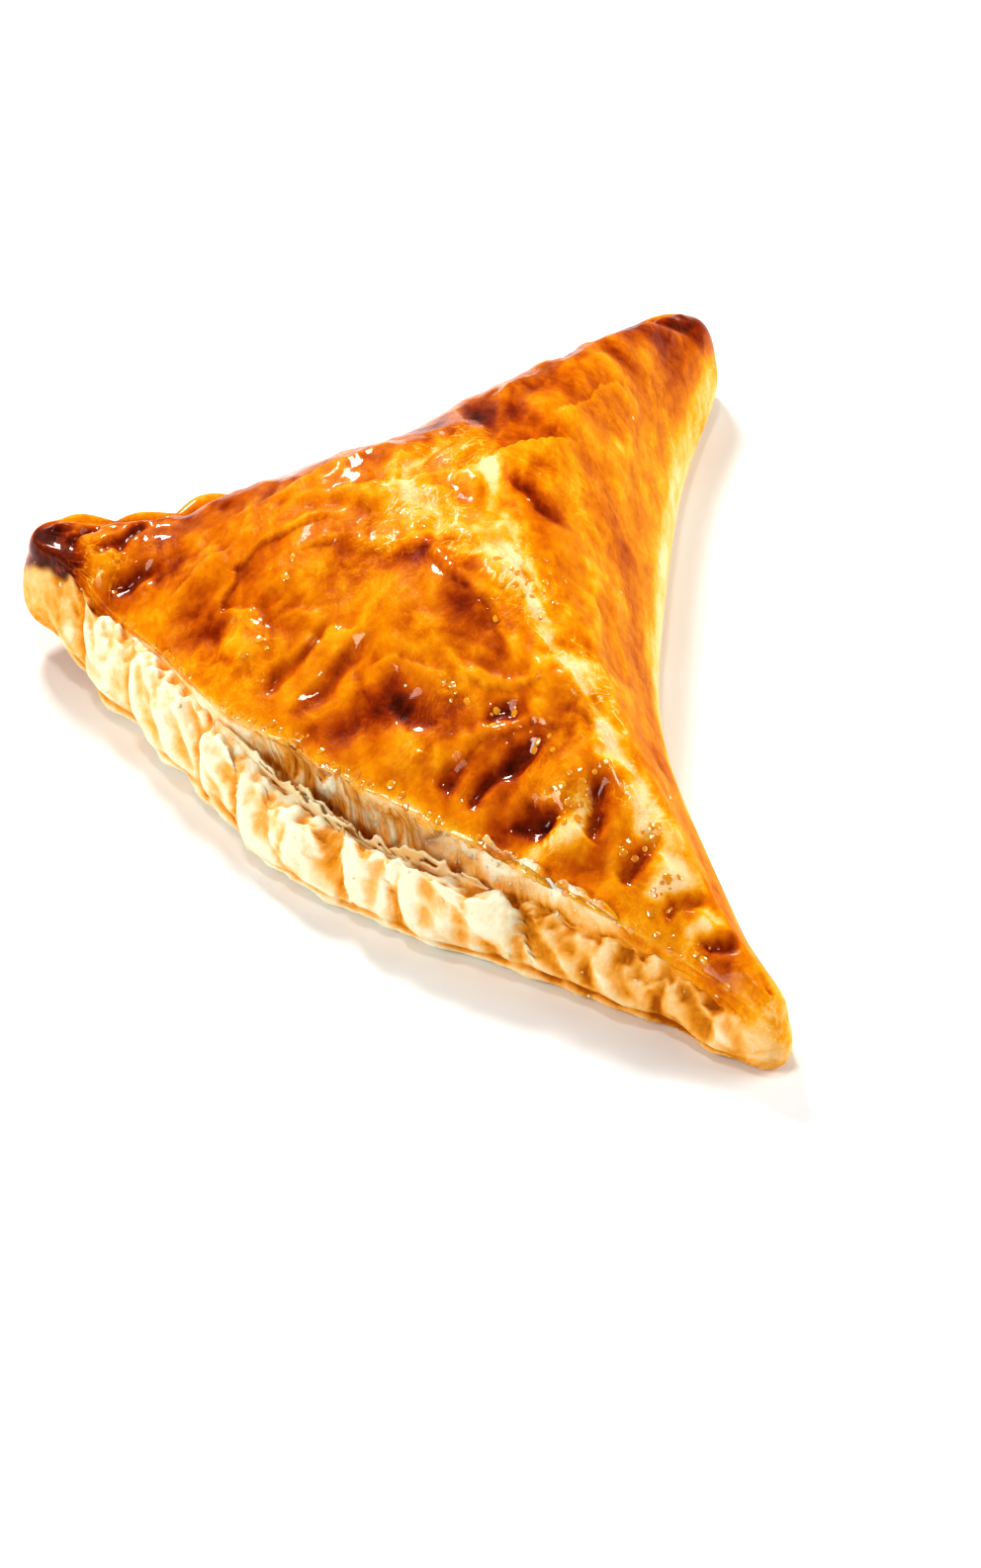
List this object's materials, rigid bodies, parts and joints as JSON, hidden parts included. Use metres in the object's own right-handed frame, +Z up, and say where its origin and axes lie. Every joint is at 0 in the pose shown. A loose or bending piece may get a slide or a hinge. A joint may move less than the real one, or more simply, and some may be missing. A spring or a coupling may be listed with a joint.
{
  "type": "potato and mushroom piroshki",
  "caption": "Triangular puff pastry turnover with a domed, glazed golden lid, a pale layered lip along its open front edge, a smooth folded side and a scalloped back edge.",
  "frame": {"origin": "middle of the bounding box at the flat base that the pastry lies on", "axes": "+Z up; +Y along the pastry's longest extent, from the near corner to the far corner; -X towards the blunt left corner"},
  "size_m": [0.0958, 0.155, 0.0331],
  "materials": {
    "crust": "baked puff pastry under glossy egg wash, golden orange to brown on the lid and pale cream on the open edge"
  },
  "bodies": {
    "root": {"pastry": "crust"}
  },
  "joints": []
}
